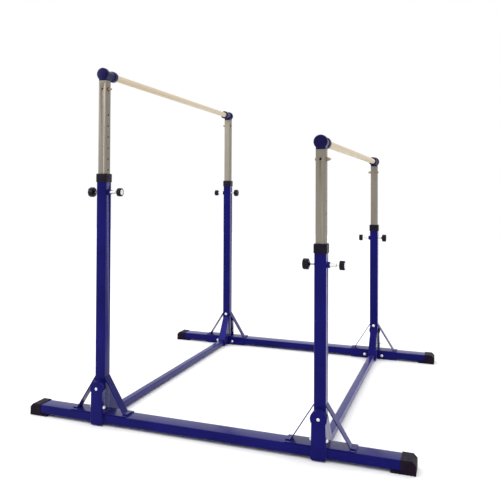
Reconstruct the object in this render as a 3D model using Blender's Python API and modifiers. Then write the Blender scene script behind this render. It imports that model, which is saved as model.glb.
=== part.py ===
"""Uneven parallel bars: two base beams, four telescoping uprights, two wooden bars at different heights.

Metres, +Z up. X runs from the high bar (left) to the low bar (right), Y from front to back, and the
origin is on the floor in the middle. Every upright is modelled in its own frame, with its outer side
towards -Y and its pull pin towards +X, and the back ones are the front ones turned half a turn.
"""

import cmath
import math

import bmesh
import bpy
from mathutils import Matrix, Vector

# Driving dimensions. Overall ones first.
BASE_LENGTH = 2.150
BEAM_SPAN = 2.000
BAR_GAUGE = 1.246
LEFT_POST_TOP = 1.4015
RIGHT_POST_TOP = 1.049
LEFT_HOLE = 7
RIGHT_HOLE = 6

# Clearance between two pieces that touch, play of a moving pin, and how far its tip stays off the inner post.
GAP = 0.0003
PLAY = 0.0004
TIP_GAP = 0.0004

# Base beams, end caps and feet.
BEAM_WIDTH = 0.100
BEAM_HEIGHT = 0.050
BEAM_WALL = 0.003
BEAM_CORNER = 0.006
FOOT_HEIGHT = 0.013
FOOT_LENGTH = 0.115
CAP_LENGTH = 0.070
CAP_WALL = 0.003
CAP_END = 0.020
CAP_CHAMFER = 0.018
CAP_CORNER = 0.004
SOLE_CORNER = 0.002

# Saddle over the beam, with its flange on the inner side.
SADDLE_LENGTH = 0.350
SADDLE_THICKNESS = 0.005
FLANGE_BOTTOM = 0.006
SADDLE_BEND = 0.007

# Outer post, boss and guide collar. The inner post slides with a little room inside the outer one.
SLIDE_ROOM = 0.002
POST_WALL = 0.003
POST_CORNER = 0.005
COLLAR_WALL = 0.004
COLLAR_HEIGHT = 0.048
COLLAR_LIP = 0.004
COLLAR_CORNER = 0.008
PIN_DROP = 0.105
BOSS_RADIUS = 0.016
BOSS_LENGTH = 0.014

# Pull pin and its sleeve.
PIN_RADIUS = 0.0045
PIN_CHAMFER = 0.001
SLEEVE_RADIUS = 0.0105
SLEEVE_SEAT = 0.001
SLEEVE_REACH = 0.047
PIN_REACH = 0.061
SLEEVE_CHAMFER = 0.0015
KNOB_RADIUS = 0.0235
KNOB_LENGTH = 0.026
KNOB_EDGE = 0.003

# Clamp screw.
SCREW_RADIUS = 0.005
SCREW_REACH = 0.025
SCREW_HUB = 0.007
SCREW_HUB_RADIUS = 0.013
SCREW_KNOB_RADIUS = 0.028
SCREW_NECK_RADIUS = 0.008
SCREW_KNOB_LENGTH = 0.030
SCREW_KNOB_EDGE = 0.004

# Braces.
BRACE_WIDTH = 0.055
BRACE_THICKNESS = 0.005
BRACE_RISE = 0.197
BRACE_FOOT = 0.022

# Outer bracket, a pressed pan with a round head that a bolt goes through.
PAN_PROUD = 0.015
PAN_WALL = 0.003
PAN_HEAD_RADIUS = 0.042
PAN_HEAD_HEIGHT = 0.203
PAN_NECK_HALF = 0.035
PAN_FOOT_HALF = 0.0385
PAN_BOTTOM = 0.004
PAN_CORNER = 0.010
PAN_EDGE = 0.003
PAN_BOLT_RADIUS = 0.009
PAN_BOLT_HEAD = 0.005

# Inner bracket, a folded channel with a spigot for the cross tube.
CHANNEL_WALL = 0.004
CHANNEL_TOP = 0.280
CHANNEL_KNEE = 0.230
CHANNEL_HEEL = 0.053
CHANNEL_BOTTOM = 0.008
CHANNEL_REACH = 0.107
CHANNEL_TOP_WIDTH = 0.044
CHANNEL_FOOT_WIDTH = 0.062
HEEL_BEND = 0.012
KNEE_BEND = 0.020
SPIGOT_LENGTH = 0.090

# Square cross tube near the floor.
CROSS_SIDE = 0.040
CROSS_WALL = 0.0025
CROSS_CORNER = 0.004
CROSS_HEIGHT = 0.030

# Inner post with its row of height holes.
INNER_SIDE = 0.050
INNER_WALL = 0.003
INNER_CORNER = 0.004
INNER_LENGTH = 0.942
HOLES = 12
HOLE_PITCH = 0.0625
FIRST_HOLE = 0.231
HOLE_RADIUS = 0.006
BOLT_DROP = 0.085
BOLT_RADIUS = 0.0043
OUTER_HOLE_RADIUS = 0.006

# Bar fitting and bar. The fitting's waist, flange and outer face stand out from the inner post by these much.
FITTING_WAIST_PROUD = 0.002
FITTING_FLANGE_PROUD = 0.0105
FITTING_FACE_PROUD = 0.008
FITTING_NECK = 0.001
FITTING_FLANGE = 0.028
FITTING_RING_START = 0.070
FITTING_RING_END = 0.098
FITTING_RING_WALL = 0.012
FITTING_EDGE = 0.006
SOCKET_DEPTH = 0.058
PLUG_LENGTH = 0.074
BAR_RADIUS = 0.0195

# What follows from them.
BEAM_TOP = FOOT_HEIGHT + BEAM_HEIGHT
SADDLE_TOP = BEAM_TOP + GAP + SADDLE_THICKNESS
FLANGE_FACE = BEAM_WIDTH / 2 + GAP + SADDLE_THICKNESS
POST_SIDE = INNER_SIDE + 2 * SLIDE_ROOM + 2 * POST_WALL
POST_BORE = POST_SIDE - 2 * POST_WALL
POST_HALF = POST_SIDE / 2
COLLAR_SIDE = POST_SIDE + 2 * COLLAR_WALL
INNER_HALF = INNER_SIDE / 2
FITTING_WAIST_RADIUS = INNER_HALF + FITTING_WAIST_PROUD
FITTING_FLANGE_RADIUS = INNER_HALF + FITTING_FLANGE_PROUD
FITTING_RING_RADIUS = BAR_RADIUS + FITTING_RING_WALL
FITTING_DROP = FITTING_FLANGE_RADIUS + FITTING_NECK
PAN_FACE = BEAM_WIDTH / 2 + PAN_PROUD
CHANNEL_FACE = POST_HALF + CHANNEL_REACH
SIDES = 24
BIG = 1.0


def collection(name):
    made = bpy.data.collections.new(name)
    bpy.context.scene.collection.children.link(made)
    return made


def material(name, colour, roughness, metallic=0.0):
    made = bpy.data.materials.new(name)
    made.use_nodes = True
    shader = made.node_tree.nodes["Principled BSDF"]
    shader.inputs["Base Color"].default_value = (*colour, 1)
    shader.inputs["Roughness"].default_value = roughness
    shader.inputs["Metallic"].default_value = metallic
    return made


def rounded(corners, steps=3):
    """The outline through (x, y, radius) corners, each an arc that touches both of its sides."""
    outline = []
    for at, (x, y, radius) in enumerate(corners):
        corner = complex(x, y)
        if not radius:
            outline.append(corner)
            continue
        behind = complex(*corners[at - 1][:2]) - corner
        ahead = complex(*corners[(at + 1) % len(corners)][:2]) - corner
        heading = -behind / abs(behind)
        turn = cmath.phase(ahead / heading)
        start = corner - heading * radius * math.tan(abs(turn) / 2)
        centre = start + heading * 1j * math.copysign(radius, turn)
        arc = [cmath.exp(1j * turn * step / steps) for step in range(steps + 1)]
        outline += [centre + (start - centre) * along for along in arc]
    return outline


def rectangle(width, height, radius):
    x, y = width / 2, height / 2
    return rounded([(-x, -y, radius), (x, -y, radius), (x, y, radius), (-x, y, radius)])


# How an outline's plane and its thickness are turned: the outline's (x, y) becomes (X, Y), (X, Z) or (Y, Z).
ALONG = {
    "Z": Matrix.Identity(4),
    "Y": Matrix.Rotation(math.pi / 2, 4, "X"),
    "X": Matrix(((0, 0, 1, 0), (1, 0, 0, 0), (0, 1, 0, 0), (0, 0, 0, 1))),
}


def mesh_object(name, mesh):
    made = bpy.data.objects.new(name, mesh)
    PARTS.objects.link(made)
    return made


def extruded(name, outlines, axis, low, high):
    """A flat outline, with any inner outlines as holes, thickened along an axis from low to high."""
    curve = bpy.data.curves.new(name, "CURVE")
    curve.dimensions = "2D"
    curve.fill_mode = "BOTH"
    curve.extrude = (high - low) / 2
    for outline in outlines:
        spline = curve.splines.new("POLY")
        spline.points.add(len(outline) - 1)
        for point, place in zip(spline.points, outline):
            point.co = (place.real, place.imag, 0, 1)
        spline.use_cyclic_u = True
    guide = bpy.data.objects.new(name, curve)
    PARTS.objects.link(guide)
    mesh = bpy.data.meshes.new_from_object(guide.evaluated_get(bpy.context.evaluated_depsgraph_get()))
    bpy.data.objects.remove(guide)
    middle = Vector([(low + high) / 2 if letter == axis else 0 for letter in "XYZ"])
    shape = bmesh.new()
    shape.from_mesh(mesh)
    bmesh.ops.remove_doubles(shape, verts=shape.verts, dist=1e-6)
    shape.transform(Matrix.Translation(middle) @ ALONG[axis])
    bmesh.ops.recalc_face_normals(shape, faces=shape.faces)
    shape.to_mesh(mesh)
    shape.free()
    return mesh_object(name, mesh)


def block(name, low, high):
    """A box between two corners."""
    low, high = Vector(low), Vector(high)
    shape = bmesh.new()
    bmesh.ops.create_cube(shape, size=1)
    shape.transform(Matrix.Translation((low + high) / 2) @ Matrix.Diagonal((*(high - low), 1)))
    mesh = bpy.data.meshes.new(name)
    shape.to_mesh(mesh)
    shape.free()
    return mesh_object(name, mesh)


def rod(name, radius, start, end, sides=SIDES):
    """A round bar from one point to another."""
    start, end = Vector(start), Vector(end)
    turn = Vector((0, 0, 1)).rotation_difference(end - start).to_matrix().to_4x4()
    shape = bmesh.new()
    bmesh.ops.create_cone(
        shape, cap_ends=True, segments=sides, radius1=radius, radius2=radius, depth=(end - start).length
    )
    shape.transform(Matrix.Translation((start + end) / 2) @ turn)
    mesh = bpy.data.meshes.new(name)
    shape.to_mesh(mesh)
    shape.free()
    mesh.shade_smooth()
    mesh.set_sharp_from_angle(angle=math.radians(40))
    return mesh_object(name, mesh)


def turned(name, profile, closed=False, sides=SIDES):
    """A profile of (radius, height) points, turned about the object's own Z axis."""
    mesh = bpy.data.meshes.new(name)
    count = len(profile)
    edges = [(at, at + 1) for at in range(count - 1)] + ([(count - 1, 0)] if closed else [])
    mesh.from_pydata([(radius, 0, height) for radius, height in profile], edges, [])
    made = mesh_object(name, mesh)
    screw = made.modifiers.new("Turn", "SCREW")
    screw.steps = screw.render_steps = sides
    screw.use_merge_vertices = True
    screw.merge_threshold = 1e-5
    screw.use_smooth_shade = True
    return made


def boolean(piece, other, operation):
    """Cuts the other shape from the piece, or joins it on, and puts the other shape with the cutters."""
    modifier = piece.modifiers.new(other.name, "BOOLEAN")
    modifier.operation = operation
    modifier.object = other
    PARTS.objects.unlink(other)
    CUTTERS.objects.link(other)
    other.parent = piece
    other.hide_render = True
    other.display_type = "WIRE"


def cut(piece, *others):
    for other in others:
        boolean(piece, other, "DIFFERENCE")


def join(piece, *others):
    for other in others:
        boolean(piece, other, "UNION")


def finish(piece, kind, parent=None, location=(0, 0, 0), rotation=(0, 0, 0)):
    piece.data.materials.append(kind)
    piece.parent = parent
    piece.location = location
    piece.rotation_euler = rotation
    return piece


# How a turned piece's own Z axis is pointed. A fitting's square parts are turned back by the same angle.
TOWARDS_X = (0, math.pi / 2, 0)
TOWARDS_MINUS_X = (0, -math.pi / 2, 0)
TOWARDS_Y = (-math.pi / 2, 0, 0)
BACK_FROM_Y = Matrix.Rotation(math.pi / 2, 4, "X")


# ---- base ----


def beam(name, y):
    outer = rectangle(BEAM_WIDTH, BEAM_HEIGHT, BEAM_CORNER)
    inner = rectangle(BEAM_WIDTH - 2 * BEAM_WALL, BEAM_HEIGHT - 2 * BEAM_WALL, BEAM_CORNER - BEAM_WALL)
    half = BASE_LENGTH / 2 - CAP_END - GAP
    made = extruded(name, [outer, inner], "X", -half, half)
    finish(made, BLUE, location=(0, y, FOOT_HEIGHT + BEAM_HEIGHT / 2))


def end_cap(name, y, side):
    """A moulded cap over the beam's end, with its foot plate. It is modelled at the +X end."""
    end = BASE_LENGTH / 2
    mouth = end - CAP_LENGTH
    top = BEAM_TOP + CAP_WALL
    sole = FOOT_HEIGHT - GAP
    profile = rounded(
        [
            (end - FOOT_LENGTH, 0, SOLE_CORNER),
            (end, 0, SOLE_CORNER),
            (end, top - CAP_CHAMFER, CAP_CORNER),
            (end - CAP_CHAMFER, top, CAP_CORNER),
            (mouth, top, 0),
            (mouth, sole, 0),
            (end - FOOT_LENGTH, sole, SOLE_CORNER),
        ]
    )
    half = BEAM_WIDTH / 2 + CAP_WALL
    made = extruded(name, [profile], "Y", -half, half)
    room = BEAM_WIDTH / 2 + GAP
    cut(made, block(name + "_pocket", (mouth - BIG, -room, sole), (end - CAP_END, room, BEAM_TOP + GAP)))
    finish(made, RUBBER, location=(0, y, 0), rotation=(0, 0, 0 if side > 0 else math.pi))


# ---- outer part of an upright ----


def saddle(name, upright):
    """A bent plate on the beam: its top ends at the outer edge, its flange goes down the inner side."""
    under, outer = BEAM_TOP + GAP, -BEAM_WIDTH / 2
    inner = FLANGE_FACE - SADDLE_THICKNESS
    profile = rounded(
        [
            (outer, under, 0),
            (inner, under, SADDLE_BEND - SADDLE_THICKNESS),
            (inner, FLANGE_BOTTOM, 0),
            (FLANGE_FACE, FLANGE_BOTTOM, 0),
            (FLANGE_FACE, SADDLE_TOP, SADDLE_BEND),
            (outer, SADDLE_TOP, 0),
        ]
    )
    finish(extruded(name, [profile], "X", -SADDLE_LENGTH / 2, SADDLE_LENGTH / 2), BLUE, upright)


def post(name, upright, top):
    """The outer tube, with a boss for the pull pin on +X and a hole for the clamp screw on -X."""
    outer = rectangle(POST_SIDE, POST_SIDE, POST_CORNER)
    inner = rectangle(POST_BORE, POST_BORE, POST_CORNER - POST_WALL)
    made = extruded(name, [outer, inner], "Z", SADDLE_TOP + GAP, top - COLLAR_LIP - GAP)
    level = top - PIN_DROP
    axis = Vector((0, 0, level))
    near, far = Vector((POST_HALF / 2, 0, 0)), Vector((POST_SIDE, 0, 0))
    rim = POST_HALF - POST_WALL / 2
    join(made, rod(name + "_boss", BOSS_RADIUS, (rim, 0, level), (POST_HALF + BOSS_LENGTH, 0, level)))
    seat = POST_HALF + SLEEVE_SEAT - GAP
    cut(
        made,
        rod(name + "_sleeve_seat", SLEEVE_RADIUS + GAP, (seat, 0, level), axis + far),
        rod(name + "_pin_hole", PIN_RADIUS + PLAY, axis + near, axis + far, 16),
        rod(name + "_screw_hole", SCREW_RADIUS + PLAY, axis - near, axis - far, 16),
    )
    finish(made, BLUE, upright)


def collar(name, upright, top):
    """A plastic guide pressed over the tube's top, with a lip that the inner post runs in."""
    made = extruded(name, [rectangle(COLLAR_SIDE, COLLAR_SIDE, COLLAR_CORNER)], "Z", top - COLLAR_HEIGHT, top)
    room = POST_SIDE + 2 * GAP
    mouth = INNER_SIDE + 2 * PLAY
    seat = rectangle(room, room, POST_CORNER)
    slot = rectangle(mouth, mouth, INNER_CORNER)
    cut(
        made,
        extruded(name + "_seat", [seat], "Z", top - 2 * COLLAR_HEIGHT, top - COLLAR_LIP),
        extruded(name + "_mouth", [slot], "Z", top - COLLAR_HEIGHT / 2, top + COLLAR_HEIGHT),
    )
    finish(made, PLASTIC, upright)


def brace(name, upright, side):
    """A flat strip from the post's side down to a short foot on the saddle, modelled on +X."""
    wall = POST_HALF + GAP
    floor = SADDLE_TOP + GAP
    toe = SADDLE_LENGTH / 2
    heel = toe - BRACE_FOOT
    top = SADDLE_TOP + BRACE_RISE
    slope = (top - floor) / (heel - wall)
    drop = BRACE_THICKNESS * math.hypot(1, slope)
    lower = heel - drop / slope
    bend = heel - BRACE_THICKNESS / slope
    profile = rounded(
        [
            (wall, top, 0),
            (wall, top - drop, 0),
            (lower, floor, 0),
            (toe, floor, 0),
            (toe, floor + BRACE_THICKNESS, 0),
            (bend, floor + BRACE_THICKNESS, BRACE_THICKNESS / 2),
        ]
    )
    made = extruded(name, [profile], "Y", -BRACE_WIDTH / 2, BRACE_WIDTH / 2)
    finish(made, BLUE, upright, rotation=(0, 0, 0 if side > 0 else math.pi))


def keyhole(inset):
    """The pan's outline seen from outside: a round head on a shank that widens a little towards the floor."""
    radius = PAN_HEAD_RADIUS - inset
    neck, foot = PAN_NECK_HALF - inset, PAN_FOOT_HALF - inset
    bottom = PAN_BOTTOM + inset
    reach = math.acos(neck / radius)
    steps = 14
    sweep = math.pi + 2 * reach
    centre = PAN_HEAD_HEIGHT * 1j
    head = [centre + cmath.rect(radius, sweep * step / steps - reach) for step in range(steps + 1)]
    corner = PAN_CORNER - inset
    left, right = head[-1], head[0]
    turns = [(-foot, bottom, corner), (foot, bottom, corner)]
    shank = rounded([(left.real, left.imag, 0), *turns, (right.real, right.imag, 0)])
    return head + shank[1:-1]


def outer_bracket(name, upright):
    """A pressed pan over post and beam, hollowed from behind, with the head of the bolt that holds it."""
    back = -POST_HALF - GAP
    made = extruded(name, [keyhole(0)], "Y", -PAN_FACE, back)
    shape = bmesh.new()
    shape.from_mesh(made.data)
    rim = [edge for edge in shape.edges if all(abs(end.co.y + PAN_FACE) < 1e-5 for end in edge.verts)]
    rim = [edge for edge in rim if edge.calc_face_angle(0) > 1]
    bmesh.ops.bevel(shape, geom=rim, offset=PAN_EDGE, segments=2, profile=0.5, affect="EDGES")
    shape.to_mesh(made.data)
    shape.free()
    beam_face = -BEAM_WIDTH / 2 - GAP
    cut(
        made,
        extruded(name + "_hollow", [keyhole(PAN_WALL)], "Y", -PAN_FACE + PAN_WALL, BEAM_WIDTH),
        block(name + "_beam_room", (-BIG, beam_face, -BIG), (BIG, BIG, SADDLE_TOP + GAP)),
    )
    seat = (0, PAN_WALL / 2 - PAN_FACE, PAN_HEAD_HEIGHT)
    crown = (0, -PAN_FACE - PAN_BOLT_HEAD, PAN_HEAD_HEIGHT)
    join(made, rod(name + "_bolt_head", PAN_BOLT_RADIUS, seat, crown))
    finish(made, BLUE, upright)


def taper(piece, trim):
    """Makes the channel's width follow its height, from the foot's to the top's."""
    rise = CHANNEL_TOP - CHANNEL_BOTTOM
    for vertex in piece.data.vertices:
        share = (vertex.co.z - CHANNEL_BOTTOM) / rise
        width = CHANNEL_FOOT_WIDTH + (CHANNEL_TOP_WIDTH - CHANNEL_FOOT_WIDTH) * share - 2 * trim
        vertex.co.x = math.copysign(width / 2, vertex.co.x)


def inner_bracket(name, upright):
    """A folded channel: a tab on the post, a slope down to the heel, and a spigot for the cross tube."""
    back = POST_HALF + GAP
    face = CHANNEL_FACE
    flange = FLANGE_FACE + GAP
    step = SADDLE_TOP + GAP
    tab = back + CHANNEL_WALL
    profile = [
        (back, CHANNEL_TOP, 0),
        (back, step, 0),
        (flange, step, 0),
        (flange, CHANNEL_BOTTOM, 0),
        (face, CHANNEL_BOTTOM, 0),
        (face, CHANNEL_HEEL, HEEL_BEND),
        (tab, CHANNEL_KNEE, KNEE_BEND),
        (tab, CHANNEL_TOP, 0),
    ]
    made = extruded(name, [rounded(profile)], "X", -0.5, 0.5)
    taper(made, 0)
    lean = (face - tab) / (CHANNEL_KNEE - CHANNEL_HEEL)
    shift = CHANNEL_WALL * math.hypot(1, lean)
    inside = face - CHANNEL_WALL
    elbow = CHANNEL_HEEL - (shift - CHANNEL_WALL) / lean
    behind = POST_HALF / 2
    hollow = [
        (behind, CHANNEL_KNEE + (tab - shift - behind) / lean, 0),
        (behind, -CHANNEL_TOP, 0),
        (inside, -CHANNEL_TOP, 0),
        (inside, elbow, HEEL_BEND - CHANNEL_WALL),
    ]
    cutter = extruded(name + "_hollow", [rounded(hollow)], "X", -0.5, 0.5)
    taper(cutter, CHANNEL_WALL)
    cut(made, cutter)
    side = CROSS_SIDE - 2 * CROSS_WALL - 2 * GAP
    outline = rectangle(side, side, CROSS_CORNER)
    spigot = extruded(name + "_spigot", [outline], "Y", face - CHANNEL_WALL / 2, face + SPIGOT_LENGTH)
    spigot.data.transform(Matrix.Translation((0, 0, CROSS_HEIGHT)))
    join(made, spigot)
    finish(made, BLUE, upright)


def pin_sleeve(name, upright, level):
    """The steel sleeve in the boss, turned, with the plunger's bore through it."""
    start, end = POST_HALF + SLEEVE_SEAT, POST_HALF + SLEEVE_REACH
    bore = PIN_RADIUS + PLAY
    profile = [
        (bore, end),
        (SLEEVE_RADIUS - SLEEVE_CHAMFER, end),
        (SLEEVE_RADIUS, end - SLEEVE_CHAMFER),
        (SLEEVE_RADIUS, start),
        (bore, start),
    ]
    finish(turned(name, profile, closed=True), ZINC, upright, (0, 0, level), TOWARDS_X)


def knob_profile(radius, start, end, edge):
    """From the far face's middle out and round both edges, back to the near face."""
    return [
        (0, end),
        (radius - 2 * edge, end),
        (radius - edge / 2, end - edge / 2),
        (radius, end - 2 * edge),
        (radius, start + edge),
        (radius - edge, start),
    ]


def pull_pin(name, upright, level):
    """The plunger: a pin whose tip stands just off the inner post, and its round knob."""
    tip = INNER_HALF + TIP_GAP
    neck = POST_HALF + PIN_REACH
    profile = knob_profile(KNOB_RADIUS, neck, neck + KNOB_LENGTH, KNOB_EDGE)
    profile += [(PIN_RADIUS, neck), (PIN_RADIUS, tip + PIN_CHAMFER)]
    profile += [(PIN_RADIUS - PIN_CHAMFER, tip), (0, tip)]
    finish(turned(name, profile), PLASTIC, upright, (0, 0, level), TOWARDS_X)


def clamp_screw(name, upright, level):
    """A threaded shank through the post's side, and its flat round knob."""
    tip = INNER_HALF + TIP_GAP
    hub = POST_HALF + SCREW_REACH
    start = hub + SCREW_HUB
    profile = knob_profile(SCREW_KNOB_RADIUS, start, start + SCREW_KNOB_LENGTH, SCREW_KNOB_EDGE)
    profile += [
        (SCREW_HUB_RADIUS, start),
        (SCREW_NECK_RADIUS, hub),
        (SCREW_RADIUS, hub),
        (SCREW_RADIUS, tip + PIN_CHAMFER),
        (SCREW_RADIUS - PIN_CHAMFER, tip),
        (0, tip),
    ]
    finish(turned(name, profile), PLASTIC, upright, (0, 0, level), TOWARDS_MINUS_X)


# ---- sliding part of an upright ----


def inner_post(name, upright, bar_height):
    top = bar_height - FITTING_DROP - GAP
    bore = INNER_SIDE - 2 * INNER_WALL
    outer = rectangle(INNER_SIDE, INNER_SIDE, INNER_CORNER)
    inner = rectangle(bore, bore, INNER_CORNER - INNER_WALL)
    made = extruded(name, [outer, inner], "Z", top - INNER_LENGTH, top)
    first = bar_height - FIRST_HOLE
    row = rod(name + "_height_holes", HOLE_RADIUS, (INNER_HALF / 2, 0, first), (INNER_SIDE, 0, first), 12)
    repeat = row.modifiers.new("Row", "ARRAY")
    repeat.count = HOLES
    repeat.use_relative_offset = False
    repeat.use_constant_offset = True
    repeat.constant_offset_displace = (0, 0, -HOLE_PITCH)
    level = bar_height - BOLT_DROP
    outside = (0, -INNER_SIDE, level)
    cut(
        made,
        row,
        rod(name + "_bolt_hole", BOLT_RADIUS, (-INNER_SIDE, 0, level), (INNER_SIDE, 0, level), 12),
        rod(name + "_outer_hole", OUTER_HOLE_RADIUS, outside, (0, -INNER_HALF / 2, level), 12),
    )
    finish(made, STEEL, upright)


def bar_fitting(name, upright, bar_height):
    """Turned body with the bar's socket on its inner end, on a square neck with a plug for the inner post."""
    outer = -INNER_HALF - FITTING_FACE_PROUD
    shoulder = outer + FITTING_FLANGE
    edge = FITTING_EDGE
    socket = FITTING_RING_END - SOCKET_DEPTH
    bore = BAR_RADIUS + GAP
    profile = [
        (0, socket),
        (bore, socket),
        (bore, FITTING_RING_END),
        (FITTING_RING_RADIUS - edge / 3, FITTING_RING_END),
        (FITTING_RING_RADIUS, FITTING_RING_END - edge / 3),
        (FITTING_RING_RADIUS, FITTING_RING_START),
        (FITTING_WAIST_RADIUS, FITTING_RING_START - edge / 2),
        (FITTING_WAIST_RADIUS, shoulder + edge / 2),
        (FITTING_FLANGE_RADIUS, shoulder),
        (FITTING_FLANGE_RADIUS, outer + edge),
        (FITTING_FLANGE_RADIUS - edge / 3, outer + edge / 3),
        (FITTING_FLANGE_RADIUS - edge, outer),
        (0, outer),
    ]
    made = turned(name, profile)
    neck = rectangle(INNER_SIDE, INNER_SIDE, INNER_CORNER)
    plug_side = INNER_SIDE - 2 * INNER_WALL - 2 * GAP
    plug = rectangle(plug_side, plug_side, 2 * INNER_CORNER - INNER_WALL)
    square = extruded(name + "_neck", [neck], "Z", -FITTING_DROP, 0)
    shank = extruded(name + "_plug", [plug], "Z", -FITTING_DROP - PLUG_LENGTH, -FITTING_DROP / 2)
    through = (INNER_SIDE, 0, -BOLT_DROP)
    bolt = rod(name + "_bolt_hole", BOLT_RADIUS, (-INNER_SIDE, 0, -BOLT_DROP), through, 12)
    for other in (square, shank, bolt):
        other.data.transform(BACK_FROM_Y)
    join(made, square, shank)
    cut(made, bolt)
    finish(made, CAST, upright, (0, 0, bar_height), TOWARDS_Y)


# ---- the whole ----


def upright(end, side, post_top, hole):
    """One upright, front (-1) or back (1), left (-1) or right (1)."""
    prefix = ("front" if end < 0 else "back") + ("_left" if side < 0 else "_right")
    place = bpy.data.objects.new(prefix + "_upright", None)
    PARTS.objects.link(place)
    place.location = (side * BAR_GAUGE / 2, end * BEAM_SPAN / 2, 0)
    place.rotation_euler = (0, 0, 0 if end < 0 else math.pi)
    level = post_top - PIN_DROP
    bar_height = level + FIRST_HOLE + HOLE_PITCH * hole
    saddle(prefix + "_saddle", place)
    post(prefix + "_outer_post", place, post_top)
    collar(prefix + "_guide_collar", place, post_top)
    for hand, letter in ((-1, "a"), (1, "b")):
        brace(prefix + "_brace_" + letter, place, hand)
    outer_bracket(prefix + "_outer_bracket", place)
    inner_bracket(prefix + "_inner_bracket", place)
    pin_sleeve(prefix + "_pin_sleeve", place, level)
    pull_pin(prefix + "_pull_pin", place, level)
    clamp_screw(prefix + "_clamp_screw", place, level)
    inner_post(prefix + "_inner_post", place, bar_height)
    bar_fitting(prefix + "_bar_fitting", place, bar_height)
    return bar_height


def bar(name, x, height):
    half = BEAM_SPAN / 2 - (FITTING_RING_END - SOCKET_DEPTH) - GAP
    finish(rod(name, BAR_RADIUS, (0, -half, 0), (0, half, 0), 32), WOOD, location=(x, 0, height))


def cross_tube(name, x):
    half = BEAM_SPAN / 2 - CHANNEL_FACE - GAP
    bore = CROSS_SIDE - 2 * CROSS_WALL
    outer = rectangle(CROSS_SIDE, CROSS_SIDE, CROSS_CORNER)
    inner = rectangle(bore, bore, CROSS_CORNER - CROSS_WALL)
    finish(extruded(name, [outer, inner], "Y", -half, half), BLUE, location=(x, 0, CROSS_HEIGHT))


for old in list(bpy.data.objects):
    bpy.data.objects.remove(old)

PARTS = collection("uneven_parallel_bars")
CUTTERS = collection("cutters")
BLUE = material("blue_powder_coat", (0.035, 0.035, 0.20), 0.35)
STEEL = material("satin_steel", (0.50, 0.47, 0.42), 0.35, 1.0)
CAST = material("dark_blue_cast_iron", (0.012, 0.014, 0.05), 0.4)
RUBBER = material("black_rubber", (0.02, 0.018, 0.022), 0.7)
PLASTIC = material("black_plastic", (0.02, 0.018, 0.022), 0.45)
ZINC = material("zinc_plate", (0.72, 0.70, 0.66), 0.25, 1.0)
WOOD = material("pale_wood", (0.72, 0.58, 0.40), 0.5)

for row, beam_side in (("front", -1), ("back", 1)):
    beam(row + "_beam", beam_side * BEAM_SPAN / 2)
    for hand_name, hand_side in (("left", -1), ("right", 1)):
        end_cap(f"{row}_{hand_name}_end_cap", beam_side * BEAM_SPAN / 2, hand_side)

for hand_name, hand_side, tube_top, engaged in (
    ("left", -1, LEFT_POST_TOP, LEFT_HOLE),
    ("right", 1, RIGHT_POST_TOP, RIGHT_HOLE),
):
    for row_side in (-1, 1):
        rail_height = upright(row_side, hand_side, tube_top, engaged)
    bar(hand_name + "_bar", hand_side * BAR_GAUGE / 2, rail_height)
    cross_tube(hand_name + "_cross_tube", hand_side * BAR_GAUGE / 2)
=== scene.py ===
import math

import bmesh
import bpy
import numpy as np
from mathutils import Matrix, Vector


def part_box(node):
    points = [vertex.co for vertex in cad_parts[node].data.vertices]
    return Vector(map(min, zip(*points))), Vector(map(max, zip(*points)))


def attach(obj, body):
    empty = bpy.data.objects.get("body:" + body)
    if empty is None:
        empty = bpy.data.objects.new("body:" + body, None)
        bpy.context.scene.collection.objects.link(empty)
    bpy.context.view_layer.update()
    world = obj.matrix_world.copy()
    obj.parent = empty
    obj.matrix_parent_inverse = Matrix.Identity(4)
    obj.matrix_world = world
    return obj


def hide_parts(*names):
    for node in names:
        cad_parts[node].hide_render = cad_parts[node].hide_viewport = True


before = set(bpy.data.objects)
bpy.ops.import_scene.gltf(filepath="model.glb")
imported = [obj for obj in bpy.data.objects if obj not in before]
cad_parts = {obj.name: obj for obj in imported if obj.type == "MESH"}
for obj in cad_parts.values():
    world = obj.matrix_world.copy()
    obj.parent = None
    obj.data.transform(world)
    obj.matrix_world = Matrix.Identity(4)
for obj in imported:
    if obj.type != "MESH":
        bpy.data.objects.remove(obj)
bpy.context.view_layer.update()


# ---- Base beams ----
# Two lengths of rectangular steel tube lie across the floor, one in front and one behind. They are cut
# square, and dipped in a deep blue powder coat that cures with a faint orange-peel surface.


def rounded(corners, steps=6):
    """Closed outline through (x, y, radius) corners. Each corner becomes steps + 1 points on the arc of its radius
    that touches both sides: the arc starts radius * tan(turn / 2) before the corner and turns about a centre
    that lies a radius to the side. Returns an array of complex x + iy."""
    outline = []
    for at, (x, y, radius) in enumerate(corners):
        corner = complex(x, y)
        behind = complex(*corners[at - 1][:2]) - corner
        ahead = complex(*corners[(at + 1) % len(corners)][:2]) - corner
        heading = -behind / abs(behind)
        turn = np.angle(ahead / heading)
        start = corner - heading * radius * math.tan(abs(turn) / 2)
        centre = start + heading * 1j * math.copysign(radius, turn)
        arc = np.exp(1j * turn * np.linspace(0, 1, steps + 1)) if radius else np.ones(1)
        outline.append(centre + (start - centre) * arc if radius else corner * arc)
    return np.concatenate(outline)


def rectangle(width, height, radius):
    """A rectangle about the origin with rounded corners."""
    x, y = width / 2, height / 2
    return rounded([(-x, -y, radius), (x, -y, radius), (x, y, radius), (-x, y, radius)])


def lay(outline, axis, place):
    """Puts a flat outline into space: its x and y run along the two axes that aren't the given one, in X, Y, Z
    order, and the point's third coordinate is the place along that axis."""
    flat = np.stack([outline.real, outline.imag], -1)
    return np.insert(flat, "XYZ".index(axis), place, axis=-1)


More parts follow.
